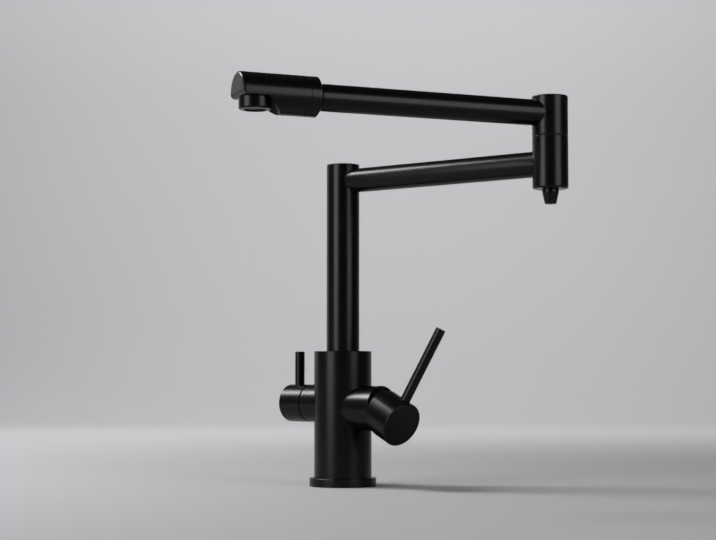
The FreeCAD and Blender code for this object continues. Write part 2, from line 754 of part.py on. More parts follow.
def make_mixer_lever():
    """Stem, cap and rod that tilt about the cartridge's pivot pin and turn with its carrier."""
    stem = turned("stem_blank", [
        ("0", "-stem_tip"),
        ("stem_tip_radius - stem_tip_chamfer", "-stem_tip"),
        ("stem_tip_radius", "-stem_tip + stem_tip_chamfer"),
        ("stem_tip_radius", "-stem_tip + stem_tip_length"),
        ("stem_waist", "-stem_tip + stem_tip_length + stem_waist_length"),
        ("stem_radius", "-stem_tip + stem_tip_length + stem_waist_length + stem_taper_length"),
        ("stem_radius", "stem_length"),
        ("0", "stem_length"),
    ])
    across = [shift(y="-2 * stem_radius"), ALONG_Y]
    pin_hole = cylinder("stem_pin_hole", "pivot_pin_radius + running_play", "4 * stem_radius", *across)
    piece("mixer_stem", cut("mixer_stem", stem, pin_hole), LEVER)

    stem_hole = "stem_radius + seat_play"
    stem_floor = "stem_length + end_play"
    cap = turned("mixer_cap_blank", [
        ("dome_clear", "mixer_rim"),
        ("mixer_radius", "mixer_rim"),
        ("mixer_radius", "mixer_cap_length"),
        ("0", "mixer_cap_length"),
        ("0", stem_floor),
        (stem_hole, stem_floor),
        (stem_hole, "dome_clear"),
        ("dome_clear", "dome_clear"),
    ])
    rounded(cap, "cap_edge", ("mixer_radius", "mixer_cap_length"))
    rounded(cap, "cap_rim_edge", ("mixer_radius", "mixer_rim"))
    rim_relief = box(
        "rim_relief", "3 * mixer_radius", "4 * mixer_radius", "mixer_radius",
        shift(z="mixer_rim"), swing(Y_AXIS, "-mixer_lift_angle"),
        shift(y="-2 * mixer_radius", z="-mixer_radius"),
    )
    up = [shift(z="mixer_rod_position"), ALONG_MINUS_X]
    rod_hole = cylinder(
        "mixer_rod_hole", "mixer_rod_radius + seat_play", "mixer_radius", *up, shift(z="mixer_rod_root"),
    )
    down = [shift(z="mixer_grub_position"), ALONG_X]
    grub_hole = cylinder("mixer_grub_hole", "grub_radius + seat_play", "mixer_radius", *down)
    piece("mixer_cap", cut("mixer_cap", cap, rim_relief, rod_hole, grub_hole), LEVER)
    lever_rod("mixer_rod", "mixer_rod_radius", "mixer_rod_root", "mixer_rod_reach", LEVER + up)
    grub_screw("mixer_grub_screw", "stem_radius", LEVER + down)


def make_filter_valve():
    """Quarter-turn ceramic valve of the filtered water and the small lever that turns it."""
    for label, radius, bottom, length in (
        ("filter_seat_seal", "filter_housing_radius - seal_play", "filter_seat", "filter_seal_thickness"),
        ("filter_fixed_disc", "filter_cavity - running_play", "filter_disc_seat", "filter_disc_thickness"),
    ):
        blank = cylinder(f"{label}_blank", radius, length, shift(z=bottom))
        ports = []
        for name, side in (("outlet", ""), ("inlet", "-")):
            spot = shift(x=f"{side}filter_port_offset", z=bottom)
            ports.append(cylinder(f"{label}_{name}", "filter_port_radius", length, spot))
        piece(label, cut(label, blank, *ports), FILTER)
    shaft_hole = "filter_stem_radius + running_play"
    cavity_end = "filter_shoulder + end_play"
    piece("filter_valve_housing", turned("filter_valve_housing", [
        ("filter_cavity", "filter_disc_seat"),
        ("filter_housing_radius", "filter_disc_seat"),
        ("filter_housing_radius", "filter_housing_end"),
        (shaft_hole, "filter_housing_end"),
        (shaft_hole, cavity_end),
        ("filter_cavity", cavity_end),
    ]), FILTER)

    moving_face = "filter_disc_face + disc_film"
    moving = cylinder(
        "filter_moving_blank", "filter_cavity - running_play", "filter_disc_thickness", shift(z=moving_face),
    )
    half_slot = "(filter_port_offset + filter_port_radius)"
    slot = box(
        "filter_slot", "2 * filter_port_radius", f"2 * {half_slot}", "filter_slot_depth",
        shift(x="-filter_port_radius", y=f"-{half_slot}", z=moving_face),
    )
    piece("filter_moving_disc", cut("filter_moving_disc", moving, slot), FILTER)
    piece("filter_stem", turned("filter_stem", [
        ("0", "filter_moving_back"),
        ("filter_cavity - running_play", "filter_moving_back"),
        ("filter_cavity - running_play", "filter_shoulder"),
        ("filter_stem_radius", "filter_shoulder"),
        ("filter_stem_radius", "filter_spline_start"),
        ("filter_spline_radius", "filter_spline_start"),
        ("filter_spline_radius", "filter_stem_end"),
        ("0", "filter_stem_end"),
    ]), FILTER)

    stem_hole = "filter_spline_radius + seat_play"
    stem_floor = "filter_stem_end + end_play"
    cap = turned("filter_cap_blank", [
        ("filter_cap_cavity", "filter_rim"),
        ("filter_radius", "filter_rim"),
        ("filter_radius", "filter_cap_end"),
        ("0", "filter_cap_end"),
        ("0", stem_floor),
        (stem_hole, stem_floor),
        (stem_hole, "filter_cap_floor"),
        ("filter_cap_cavity", "filter_cap_floor"),
    ])
    rounded(cap, "cap_edge", ("filter_radius", "filter_cap_end"))
    rounded(cap, "cap_rim_edge", ("filter_radius", "filter_rim"))
    up = [shift(z="filter_rod_position"), ALONG_X]
    rod_hole = cylinder(
        "filter_rod_hole", "filter_rod_radius + seat_play", "filter_radius", *up, shift(z="filter_rod_root"),
    )
    down = [shift(z="filter_grub_position"), ALONG_MINUS_X]
    grub_hole = cylinder("filter_grub_hole", "grub_radius + seat_play", "filter_radius", *down)
    piece("filter_cap", cut("filter_cap", cap, rod_hole, grub_hole), FILTER)
    lever_rod("filter_rod", "filter_rod_radius", "filter_rod_root", "filter_rod_reach", FILTER + up)
    grub_screw("filter_grub_screw", "filter_spline_radius", FILTER + down)


def o_ring_set(label, shaft, middles, frame):
    """O-rings just inside a shaft's surface, one at each height."""
    radius = f"{shaft} - running_play - o_ring_thickness / 2"
    rings = [
        ring(f"{label}_{number}", radius, "o_ring_thickness", shift(z=middle))
        for number, middle in enumerate(middles, start=1)
    ]
    piece(label, group(label, *rings), frame)


def make_riser():
    """Riser tube and the spigot that swivels in the valve body, kept in by a set screw."""
    washer("riser_slip_ring", "slip_ring_bore", "riser_radius - slip_ring_inset", "body_top", "riser_bottom")
    o_ring_floor = "spigot_radius - o_ring_thickness - 2 * running_play"
    o_ring_heights = ["lower_o_ring_height", "upper_o_ring_height"]
    grip = "riser_bore - seat_play"
    spigot_bottom = "swivel_bottom + end_play"
    piece("riser_spigot", turned("riser_spigot", [
        ("spigot_bore", spigot_bottom),
        ("spigot_radius", spigot_bottom),
        *groove("spigot_radius", o_ring_floor, o_ring_heights[0], "o_ring_groove_width"),
        *groove("spigot_radius", "screw_groove_floor", "screw_height", "screw_groove_width"),
        *groove("spigot_radius", o_ring_floor, o_ring_heights[1], "o_ring_groove_width"),
        ("spigot_radius", "riser_bottom"),
        (grip, "riser_bottom"),
        (grip, "riser_bottom + spigot_grip"),
        ("spigot_bore", "riser_bottom + spigot_grip"),
    ]), RISER)
    o_ring_set("riser_o_rings", "spigot_radius", o_ring_heights, RISER)

    screw_tip = "(screw_groove_floor + end_play)"
    screw_length = f"(body_radius - screw_head_recess - {screw_tip})"
    screw = cylinder("screw_blank", "screw_radius", screw_length)
    key_floor = f"{screw_length} - screw_key_depth"
    key = hexagon("screw_key", "screw_key_flats", "screw_key_depth", shift(z=key_floor))
    back = [shift(y=screw_tip, z="screw_height"), ALONG_Y]
    piece("riser_retaining_screw", cut("riser_retaining_screw", screw, key), back)

    tube = turned("riser_tube_blank", [
        ("riser_bore", "riser_bottom"),
        ("riser_radius", "riser_bottom"),
        ("riser_radius", "riser_top"),
        ("riser_bore", "riser_top"),
    ])
    rounded(tube, "riser_edge", ("riser_radius", "riser_top"))
    arm_line = [shift(z="lower_arm_height"), ALONG_X]
    arm_hole = cylinder("riser_arm_hole", "arm_bore", "2 * riser_radius", *arm_line)
    piece("riser_tube", cut("riser_tube", tube, arm_hole), RISER)
    plug = cylinder("riser_cap", grip, "riser_cap_thickness")
    piece("riser_cap", plug, RISER + [shift(z="riser_top - riser_cap_thickness")])


def coped_arm(name, length, height, *posts):
    """A tube along X from the Z axis, its ends shaped to the round posts that it meets."""
    frame = [shift(z=height), ALONG_X]
    blank = cylinder(f"{name}_blank", "arm_radius", length, *frame)
    bore = cylinder(f"{name}_bore", "arm_bore", length, *frame)
    copes = [
        cylinder(
            f"{name}_cope_{number}", f"{radius} + braze_gap", "4 * arm_radius",
            shift(x=station, z=f"{height} - 2 * arm_radius"),
        )
        for number, (radius, station) in enumerate(posts, start=1)
    ]
    return cut(name, blank, bore, *copes)


def bent_pipe(name, radius):
    """Solid along the filtered water's route: up the riser, along the lower arm, down the hub."""
    low_bend = "lower_arm_height - filter_tube_bend"
    far_bend = "lower_arm_length - filter_tube_bend"
    start = "(socket_floor + end_play)"
    upright = swing(X_AXIS, QUARTER_TURN)
    bends = []
    for number, frame in enumerate((
        [shift(x="filter_tube_bend", z=low_bend), upright, swing(Z_AXIS, QUARTER_TURN)],
        [shift(x=far_bend, z=low_bend), upright],
    ), start=1):
        bend = ring(f"{name}_bend_{number}", "filter_tube_bend", f"2 * {radius}", *frame)
        bind(bend, "Angle3", QUARTER_TURN)
        bends.append(bend)
    along = [shift(x="filter_tube_bend", z="lower_arm_height"), ALONG_X]
    down = shift(x="lower_arm_length", z="nozzle_socket")
    return fuse(
        name,
        cylinder(f"{name}_up", radius, f"{low_bend} - {start}", shift(z=start)),
        cylinder(f"{name}_along", radius, f"{far_bend} - filter_tube_bend", *along),
        cylinder(f"{name}_down", radius, f"{low_bend} - nozzle_socket", down),
        *bends,
    )


def make_lower_arm():
    """Lower arm, its hub and the filtered water's own tube and nozzle."""
    posts = [("riser_radius", "0"), ("hub_radius", "lower_arm_length")]
    arm = coped_arm("lower_arm_tube", "lower_arm_length", "lower_arm_height", *posts)
    piece("lower_arm_tube", arm, RISER)
    outside = bent_pipe("filter_tube_outside", "filter_tube_radius")
    inside = bent_pipe("filter_tube_inside", "filter_tube_bore")
    piece("filter_tube", cut("filter_tube", outside, inside), RISER)

    hub = turned("lower_hub_blank", [
        ("hub_bore", "hub_bottom"),
        ("hub_radius", "hub_bottom"),
        ("hub_radius", "hub_seam"),
        ("hub_bore", "hub_seam"),
    ])
    rounded(hub, "hub_foot_edge", ("hub_radius", "hub_bottom"))
    rounded(hub, "seam_edge", ("hub_radius", "hub_seam"))
    arm_line = [shift(z="lower_arm_height"), ALONG_MINUS_X]
    arm_hole = cylinder("lower_hub_arm_hole", "arm_bore", "2 * hub_radius", *arm_line)
    piece("lower_hub", cut("lower_hub", hub, arm_hole), ELBOW)
    thread_hole = "nozzle_thread_radius + seat_play"
    washer("lower_hub_plug", thread_hole, "hub_bore - seat_play", "hub_bottom", "hub_plug_top", ELBOW)
    tube_socket = "filter_tube_radius + seat_play"
    piece("filter_nozzle", turned("filter_nozzle", [
        ("filter_tube_bore", "nozzle_tip"),
        ("nozzle_tip_radius", "nozzle_tip"),
        ("nozzle_top_radius", "hub_bottom - nozzle_straight"),
        ("nozzle_top_radius", "hub_bottom"),
        ("nozzle_thread_radius", "hub_bottom"),
        ("nozzle_thread_radius", "hub_plug_top"),
        (tube_socket, "hub_plug_top"),
        (tube_socket, "nozzle_socket"),
        ("filter_tube_bore", "nozzle_socket"),
    ]), ELBOW)


def make_elbow():
    """Swivel between the two arms: a hollow spindle in the lower hub that the upper hub turns on."""
    o_ring_floor = "spindle_radius - o_ring_thickness - 2 * running_play"
    first = "upper_hub_bottom + elbow_o_ring_first - elbow_washer_thickness"
    o_ring_heights = [first, f"{first} + elbow_o_ring_pitch"]
    ring_floor = "(spindle_radius - ring_groove_depth)"
    ring_middle = "ring_bottom + ring_thickness / 2"
    base = "hub_bore - seat_play"
    pivot_bottom = "hub_seam - pivot_base_thickness"
    spindle_top = "hub_seam + spindle_length"
    piece("elbow_pivot", turned("elbow_pivot", [
        ("spindle_bore", pivot_bottom),
        (base, pivot_bottom),
        (base, "hub_seam"),
        ("spindle_radius", "hub_seam"),
        *groove("spindle_radius", o_ring_floor, o_ring_heights[0], "o_ring_groove_width"),
        *groove("spindle_radius", o_ring_floor, o_ring_heights[1], "o_ring_groove_width"),
        *groove("spindle_radius", ring_floor, ring_middle, "(ring_thickness + 2 * seat_play)"),
        ("spindle_radius", spindle_top),
        ("spindle_bore", spindle_top),
    ]), ELBOW)
    o_ring_set("elbow_o_rings", "spindle_radius", o_ring_heights, ELBOW)
    washer(
        "elbow_washer", "spindle_radius + end_play", "hub_radius - elbow_washer_inset",
        "hub_seam", "upper_hub_bottom", ELBOW,
    )
    clip = turned("clip_blank", [
        (f"{ring_floor} + seat_play", "ring_bottom"),
        ("spindle_radius + ring_reach", "ring_bottom"),
        ("spindle_radius + ring_reach", "ring_bottom + ring_thickness"),
        (f"{ring_floor} + seat_play", "ring_bottom + ring_thickness"),
    ])
    gap_corner = shift(y="-ring_gap / 2", z="ring_bottom")
    gap = box("clip_gap", "2 * spindle_radius", "ring_gap", "ring_thickness", gap_corner)
    piece("elbow_retaining_ring", cut("elbow_retaining_ring", clip, gap), ELBOW)

    land = "spindle_radius + running_play"
    hub = turned("upper_hub_blank", [
        (land, "upper_hub_bottom"),
        ("hub_radius", "upper_hub_bottom"),
        ("hub_radius", "hub_top"),
        ("hub_bore", "hub_top"),
        ("hub_bore", "land_top"),
        (land, "land_top"),
    ])
    rounded(hub, "hub_edge", ("hub_radius", "hub_top"))
    rounded(hub, "seam_edge", ("hub_radius", "upper_hub_bottom"))
    arm_line = [shift(z="upper_arm_height"), ALONG_X]
    arm_hole = cylinder("upper_hub_arm_hole", "arm_bore", "2 * hub_radius", *arm_line)
    piece("upper_hub", cut("upper_hub", hub, arm_hole), UPPER_ARM)
    cap = cylinder("upper_hub_cap", "hub_bore - seat_play", "hub_cap_thickness")
    piece("upper_hub_cap", cap, UPPER_ARM + [shift(z="hub_top - hub_cap_thickness")])


def drilled_ring(body, circle, count):
    """Adds a ring of holes through a flat body, parallel to its axis."""
    name = f"{body.Name}_holes_{len(body.Group)}"
    sketch = new_sketch(body, f"{name}_sketch", "XY_Plane")
    spot = Vector(value(circle), 0, 0)
    sketch.addGeometry(Part.Circle(spot, Vector(0, 0, 1), value("aerator_hole")))
    sketch.addConstraint(Sketcher.Constraint("PointOnObject", 0, 3, -1))
    rules = {
        circle: Sketcher.Constraint("DistanceX", -1, 1, 0, 3, spot.x),
        "aerator_hole": Sketcher.Constraint("Radius", 0, value("aerator_hole")),
    }
    for formula, rule in rules.items():
        bind(sketch, f"Constraints[{sketch.addConstraint(rule)}]", formula)
    pocket = body.newObject("PartDesign::Pocket", f"{name}_pocket")
    pocket.Profile = sketch
    pocket.Type = "ThroughAll"
    pocket.Midplane = True
    doc.recompute()
    pattern = body.newObject("PartDesign::PolarPattern", f"{name}_pattern")
    pattern.Originals = [pocket]
    pattern.Axis = (sketch, ["N_Axis"])
    pattern.Angle = 360
    pattern.Occurrences = count
    body.Tip = pattern


def make_upper_arm():
    """Upper arm and the thick spout head that it carries, relieved underneath for the aerator."""
    arm = coped_arm("upper_arm_tube", "spout_socket_end", "upper_arm_height", ("hub_radius", "0"))
    piece("upper_arm_tube", arm, UPPER_ARM)
    tube_hole = "arm_radius + seat_play"
    collar = turned("spout_collar", [
        (tube_hole, "collar_start"),
        ("arm_radius + collar_lip", "collar_start"),
        ("spout_radius", "collar_shoulder"),
        ("spout_radius", "collar_end"),
        (tube_hole, "collar_end"),
    ])
    piece("spout_collar", rounded(collar, "collar_seam_edge", ("spout_radius", "collar_end")), SPOUT)

    socket_end = "spout_socket_end + end_play"
    head = turned("spout_blank", [
        ("0", socket_end),
        (tube_hole, socket_end),
        (tube_hole, "collar_end"),
        ("spout_radius", "collar_end"),
        ("spout_radius", "spout_end"),
        ("0", "spout_end"),
    ])
    rounded(head, "spout_edge", ("spout_radius", "spout_end"))
    rounded(head, "collar_seam_edge", ("spout_radius", "collar_end"))
    water_way = cylinder(
        "spout_way", "spout_way_radius", "spout_reach + spout_way_radius - spout_socket_end",
        shift(x="-spout_way_rise", z="spout_socket_end"),
    )
    flat = box(
        "spout_flat", "spout_radius", "4 * spout_radius", "spout_end",
        shift(x="spout_flat_drop", y="-2 * spout_radius", z="spout_reach"),
    )
    inset = "(spout_nose_round - spout_nose_crease)"
    nose_corner = shift(
        x=f"spout_flat_drop - {inset}", y="-2 * spout_radius", z=f"spout_end - {inset}",
    )
    nose = cut(
        "spout_nose",
        box("spout_corner", "spout_radius", "4 * spout_radius", "2 * spout_nose_round", nose_corner),
        cylinder("spout_corner_round", "spout_nose_round", "4 * spout_radius", nose_corner, ALONG_Y),
    )
    relief = doc.addObject("Part::Cone", "spout_relief")
    spread = "(spout_relief_bottom - spout_relief_top) / (spout_radius - spout_flat_drop)"
    bind(relief, "Radius1", "spout_relief_top")
    bind(relief, "Radius2", f"spout_relief_top + spout_radius * {spread}")
    bind(relief, "Height", "spout_radius")
    place(relief, [shift(x="spout_flat_drop", z="spout_reach"), ALONG_X])
    thread_hole = cylinder(
        "aerator_hole_blank", "aerator_thread + seat_play", "aerator_socket_top + spout_radius",
        shift(x="-aerator_socket_top", z="spout_reach"), ALONG_X,
    )
    piece("spout_head", cut("spout_head", head, water_way, flat, nose, relief, thread_hole), SPOUT)

    lip_top = "-aerator_drop + aerator_lip_height"
    housing = turned("aerator_housing", [
        ("aerator_lip", "-aerator_drop"),
        ("aerator_radius", "-aerator_drop"),
        ("aerator_radius", "-spout_flat_drop"),
        ("aerator_thread", "-spout_flat_drop"),
        ("aerator_thread", "thread_top"),
        ("aerator_bore", "thread_top"),
        ("aerator_bore", lip_top),
        ("aerator_lip", lip_top),
    ])
    rounded(housing, "aerator_edge", ("aerator_radius", "-aerator_drop"))
    piece("aerator_housing", housing, AERATOR)
    insert_radius = "aerator_bore - seat_play"
    insert = turned("aerator_insert", [
        ("0", "-aerator_insert_height / 2"),
        (insert_radius, "-aerator_insert_height / 2"),
        (insert_radius, "aerator_insert_height / 2"),
        ("0", "aerator_insert_height / 2"),
    ])
    doc.recompute()
    drilled_ring(insert, "aerator_inner_circle", AERATOR_INNER_HOLES)
    drilled_ring(insert, "aerator_outer_circle", AERATOR_OUTER_HOLES)
    piece("aerator_insert", insert, AERATOR + [shift(z=f"{lip_top} + aerator_insert_height / 2")])
    washer(
        "aerator_washer", "aerator_washer_bore", "aerator_thread - seal_play",
        "thread_top", "aerator_socket_top", AERATOR,
    )


def check(things):
    for thing in things:
        if "Invalid" in thing.State or "Error" in thing.State:
            raise RuntimeError(f"{thing.Name} failed: {thing.State}")
    for part in pieces:
        if part.Shape.isNull() or not part.Shape.isValid() or not part.Shape.Solids:
            raise RuntimeError(f"{part.Label} has no valid solid")


make_deck_fixing()
make_valve_body()
make_mixer_cartridge()
make_mixer_lever()
make_filter_valve()
make_riser()
make_lower_arm()
make_elbow()
make_upper_arm()
doc.recompute()
check(doc.Objects)

os.makedirs("parts", exist_ok=True)
for part in pieces:
    part.Shape.exportStep(f"parts/{part.Label}.step")
    print(f"{part.Label}: {len(part.Shape.Solids)} solid, {part.Shape.Volume:.1f} mm3")
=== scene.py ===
import json
import math

import bpy
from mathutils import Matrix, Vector


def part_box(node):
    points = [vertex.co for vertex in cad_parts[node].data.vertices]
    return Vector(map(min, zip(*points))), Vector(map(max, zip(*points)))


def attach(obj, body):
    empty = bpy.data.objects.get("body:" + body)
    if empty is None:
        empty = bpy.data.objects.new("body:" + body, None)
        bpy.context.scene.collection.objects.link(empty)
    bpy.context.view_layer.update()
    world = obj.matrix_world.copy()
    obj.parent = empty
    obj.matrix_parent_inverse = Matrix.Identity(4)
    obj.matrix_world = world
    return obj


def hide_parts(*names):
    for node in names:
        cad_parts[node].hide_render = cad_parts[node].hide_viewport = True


# Three-way kitchen faucet in satin black, seen from its front right.
# Lengths are metres in the faucet's own frame: it stands on z = 0 and its front is on the -Y side.
# Angles are degrees, and lamps are in watts.

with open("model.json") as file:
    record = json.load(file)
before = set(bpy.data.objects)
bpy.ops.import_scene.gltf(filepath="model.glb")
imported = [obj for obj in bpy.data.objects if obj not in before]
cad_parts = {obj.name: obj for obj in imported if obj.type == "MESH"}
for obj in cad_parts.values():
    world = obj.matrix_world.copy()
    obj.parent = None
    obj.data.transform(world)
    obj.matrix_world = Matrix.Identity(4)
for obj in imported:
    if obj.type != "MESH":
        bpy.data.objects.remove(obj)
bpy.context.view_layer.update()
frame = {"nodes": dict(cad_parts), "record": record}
nodes = frame["nodes"]
scene = bpy.context.scene

# Camera, with its lens and sensor in millimetres
CAMERA_PLACE = (0.99726, -1.05421, 0.09595)
CAMERA_TILT = 93.638
CAMERA_TURN = 42.89
CAMERA_LENS = 83.37
CAMERA_SENSOR = 36.0

# Level directions, away from the camera and across its view
AWAY = -Vector((CAMERA_PLACE[0], CAMERA_PLACE[1], 0)).normalized()
ACROSS = Vector((-AWAY.y, AWAY.x, 0))

# Patterns that all finishes share: soft clouds for colour and roughness, and a fine grain
CLOUD_SCALE = 38
CLOUD_DETAIL = 3
CLOUD_ROUGHNESS = 0.5
GRAIN_DETAIL = 4
GRAIN_ROUGHNESS = 0.6
GRAIN_STRENGTH = 0.35
PATTERN_LOW = 0.3
PATTERN_HIGH = 0.7

# Weak gloss of the black coat and the black plastic
SATIN_SPECULAR = 0.2

# Fine rings round the vertical axis, as turning leaves them
LATHE_MARKS = (0.02, 0.02, 1)

# Threaded shank below the base flange. The flat is a share of the pitch, which has this many rows of faces.
SHANK_RADIUS = 0.016
SHANK_BORE = 0.0135
COLLAR_RADIUS = 0.017
COLLAR_HEIGHT = 0.008
THREAD_PITCH = 0.0015
THREAD_DEPTH = 0.0009
THREAD_FLAT = 0.15
THREAD_SIDES = 80
THREAD_ROWS = 8
SHARP_ANGLE = 40

# Floor and wall
STAGE_COLOUR = (0.43, 0.43, 0.432)
STAGE_ROUGHNESS = 0.8
STAGE_SPECULAR = 0.1
STAGE_REACH = 6.0
WALL_DISTANCE = 2.6
WALL_HEIGHT = 1.2
SWEEP_RADIUS = 0.8
SWEEP_STEPS = 12

# Light
WORLD_COLOUR = (0.05, 0.05, 0.052)
LAMP_COLOUR = (0.98, 0.97, 1.0)
LAMP_CENTRE = Vector((0.07, -0.08, 0.16))
WIDE_BEAM = 180
SOFTBOX_DISTANCE = 1.5
FILL_DISTANCE = 2.2
FLOOR_LAMP_DISTANCE = 3.8
FLOOR_LAMP_HEIGHT = 4.0
FLOOR_LAMP_LENGTH = 6.0
FLOOR_LAMP_DEPTH = 2.0
FLOOR_LAMP_BEAM = 60


def add_object(name, data):
    """A new object with this data, linked into the scene."""
    thing = bpy.data.objects.new(name, data)
    scene.collection.objects.link(thing)
    return thing


def smooth_mesh(name, points, faces, material):
    """A smoothly shaded mesh in one material."""
    mesh = bpy.data.meshes.new(name)
    mesh.from_pydata(points, [], faces)
    for face in mesh.polygons:
        face.use_smooth = True
    mesh.materials.append(material)
    return mesh


def new_material(name):
    """A node material, its node tree and its Principled shader."""
    material = bpy.data.materials.new(name)
    material.use_nodes = True
    tree = material.node_tree
    return material, tree, tree.nodes["Principled BSDF"]


def noise(tree, scale, detail, roughness, stretch=None):
    """Noise in object space. Stretch scales the pattern along each axis."""
    texture = tree.nodes.new("ShaderNodeTexNoise")
    texture.inputs["Scale"].default_value = scale
    texture.inputs["Detail"].default_value = detail
    texture.inputs["Roughness"].default_value = roughness
    place = tree.nodes.new("ShaderNodeTexCoord")
    source = place.outputs["Object"]
    if stretch:
        mapping = tree.nodes.new("ShaderNodeMapping")
        mapping.inputs["Scale"].default_value = stretch
        tree.links.new(source, mapping.inputs["Vector"])
        source = mapping.outputs["Vector"]
    tree.links.new(source, texture.inputs["Vector"])
    return texture.outputs["Fac"]


def spread(tree, pattern, low, high):
    """A number between low and high, chosen by a pattern."""
    node = tree.nodes.new("ShaderNodeMapRange")
    node.inputs["From Min"].default_value = PATTERN_LOW
    node.inputs["From Max"].default_value = PATTERN_HIGH
    node.inputs["To Min"].default_value = low
    node.inputs["To Max"].default_value = high
    tree.links.new(pattern, node.inputs["Value"])
    return node.outputs["Result"]


def tint(tree, pattern, dark, light):
    """A colour between dark and light, chosen by a pattern."""
    ramp = tree.nodes.new("ShaderNodeValToRGB")
    ramp.color_ramp.elements[0].position = PATTERN_LOW
    ramp.color_ramp.elements[0].color = (*dark, 1)
    ramp.color_ramp.elements[1].position = PATTERN_HIGH
    ramp.color_ramp.elements[1].color = (*light, 1)
    tree.links.new(pattern, ramp.inputs["Fac"])
    return ramp.outputs["Color"]


def bump(tree, shader, pattern, height):
    """Raises the surface by a pattern, up to a height."""
    node = tree.nodes.new("ShaderNodeBump")
    node.inputs["Strength"].default_value = GRAIN_STRENGTH
    node.inputs["Distance"].default_value = height
    tree.links.new(pattern, node.inputs["Height"])
    tree.links.new(node.outputs["Normal"], shader.inputs["Normal"])


def textured(name, dark, light, rough, grain, height, stretch=None, specular=0.5, metallic=0.0):
    """A finish whose colour, roughness and surface vary a little. The grain has a scale and a height."""
    material, tree, shader = new_material(name)
    clouds = noise(tree, CLOUD_SCALE, CLOUD_DETAIL, CLOUD_ROUGHNESS)
    fine = noise(tree, grain, GRAIN_DETAIL, GRAIN_ROUGHNESS, stretch)
    tree.links.new(tint(tree, clouds, dark, light), shader.inputs["Base Color"])
    tree.links.new(spread(tree, clouds, *rough), shader.inputs["Roughness"])
    bump(tree, shader, fine, height)
    shader.inputs["Specular IOR Level"].default_value = specular
    shader.inputs["Metallic"].default_value = metallic
    return material


def turned_metal(name, dark, light, rough):
    """A bare metal with the marks of the lathe."""
    return textured(name, dark, light, rough, grain=3000, height=0.00001, stretch=LATHE_MARKS, metallic=1.0)


# Finishes by the record's material slots
FINISHES = {
    "black_coat": textured(
        "black_coat", dark=(0.0014, 0.0014, 0.0015), light=(0.0024, 0.0024, 0.0026), rough=(0.24, 0.28),
        grain=2600, height=0.00002, specular=SATIN_SPECULAR,
    ),
    "black_plastic": textured(
        "black_plastic", dark=(0.003, 0.003, 0.003), light=(0.005, 0.005, 0.005), rough=(0.42, 0.5),
        grain=1800, height=0.00005, specular=SATIN_SPECULAR,
    ),
    "brass": turned_metal("brass", dark=(0.58, 0.39, 0.15), light=(0.68, 0.48, 0.20), rough=(0.28, 0.40)),
    "steel": turned_metal("steel", dark=(0.50, 0.50, 0.51), light=(0.60, 0.60, 0.61), rough=(0.24, 0.34)),
    "rubber": textured(
        "rubber", dark=(0.012, 0.012, 0.012), light=(0.02, 0.02, 0.02), rough=(0.6, 0.75),
        grain=900, height=0.00008,
    ),
    "white_plastic": textured(
        "white_plastic", dark=(0.66, 0.66, 0.64), light=(0.72, 0.72, 0.70), rough=(0.36, 0.44),
        grain=1200, height=0.00003,
    ),
    "grey_plastic": textured(
        "grey_plastic", dark=(0.045, 0.045, 0.047), light=(0.06, 0.06, 0.062), rough=(0.38, 0.48),
        grain=1200, height=0.00003,
    ),
    "ceramic": textured(
        "ceramic", dark=(0.74, 0.73, 0.70), light=(0.79, 0.78, 0.75), rough=(0.12, 0.2),
        grain=1400, height=0.00001,
    ),
}


def paint_nodes():
    """Gives each CAD node the finish of the material slot that the record names for it."""
    for part in frame["record"]["subparts"]:
        materials = nodes[part["node"]].data.materials
        materials.clear()
        materials.append(FINISHES[part["material_slot"]])


def thread_radius(turn, height, bottom, top):
    """Radius of the thread at a turn from 0 to 1 and a height between its bottom and top ends."""
    wave = abs(2 * ((height / THREAD_PITCH - turn) % 1) - 1)
    groove = min(max((wave - THREAD_FLAT) / (1 - 2 * THREAD_FLAT), 0), 1)
    run_out = min((top - height) / THREAD_PITCH, 1)
    lead_in = SHANK_RADIUS - THREAD_DEPTH + (height - bottom)
    return min(SHANK_RADIUS - THREAD_DEPTH * groove * run_out, lead_in)


def shank_rows(bottom, top, turns):
    """Rings of (radius, height), one pair a turn: up the thread, over the collar and down the bore."""
    thread_top = -COLLAR_HEIGHT
    count = round((thread_top - bottom) / THREAD_PITCH * THREAD_ROWS)
    rows = []
    for row in range(count + 1):
        height = bottom + (thread_top - bottom) * row / count
        rows.append([(thread_radius(turn, height, bottom, thread_top), height) for turn in turns])
    plain = [
        (COLLAR_RADIUS, thread_top), (COLLAR_RADIUS, 0), (SHANK_RADIUS, 0), (SHANK_RADIUS, top),
        (SHANK_BORE, top), (SHANK_BORE, bottom),
    ]
    return rows + [[corner] * len(turns) for corner in plain]


def ring_faces(rows, sides):
    """Four-sided faces between neighbouring rings, with the last ring joined to the first."""
    faces = []
    for row in range(rows):
        low = row * sides
        high = (row + 1) % rows * sides
        for side in range(sides):
            beside = (side + 1) % sides
            faces.append((low + side, low + beside, high + beside, high + side))
    return faces


def make_shank():
    """The shank with its real thread, from its chamfered lower end up to its collar."""
    low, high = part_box("mounting_shank")
    turns = [side / THREAD_SIDES for side in range(THREAD_SIDES)]
    rows = shank_rows(low[2], high[2], turns)
    points = []
    for row in rows:
        for turn, (radius, height) in zip(turns, row):
            angle = 2 * math.pi * turn
            points.append((radius * math.cos(angle), radius * math.sin(angle), height))
    mesh = smooth_mesh("threaded_shank", points, ring_faces(len(rows), THREAD_SIDES), FINISHES["brass"])
    mesh.set_sharp_from_angle(angle=math.radians(SHARP_ANGLE))
    shank = add_object("threaded_shank", mesh)
    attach(shank, "valve_base")
    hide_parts("mounting_shank")


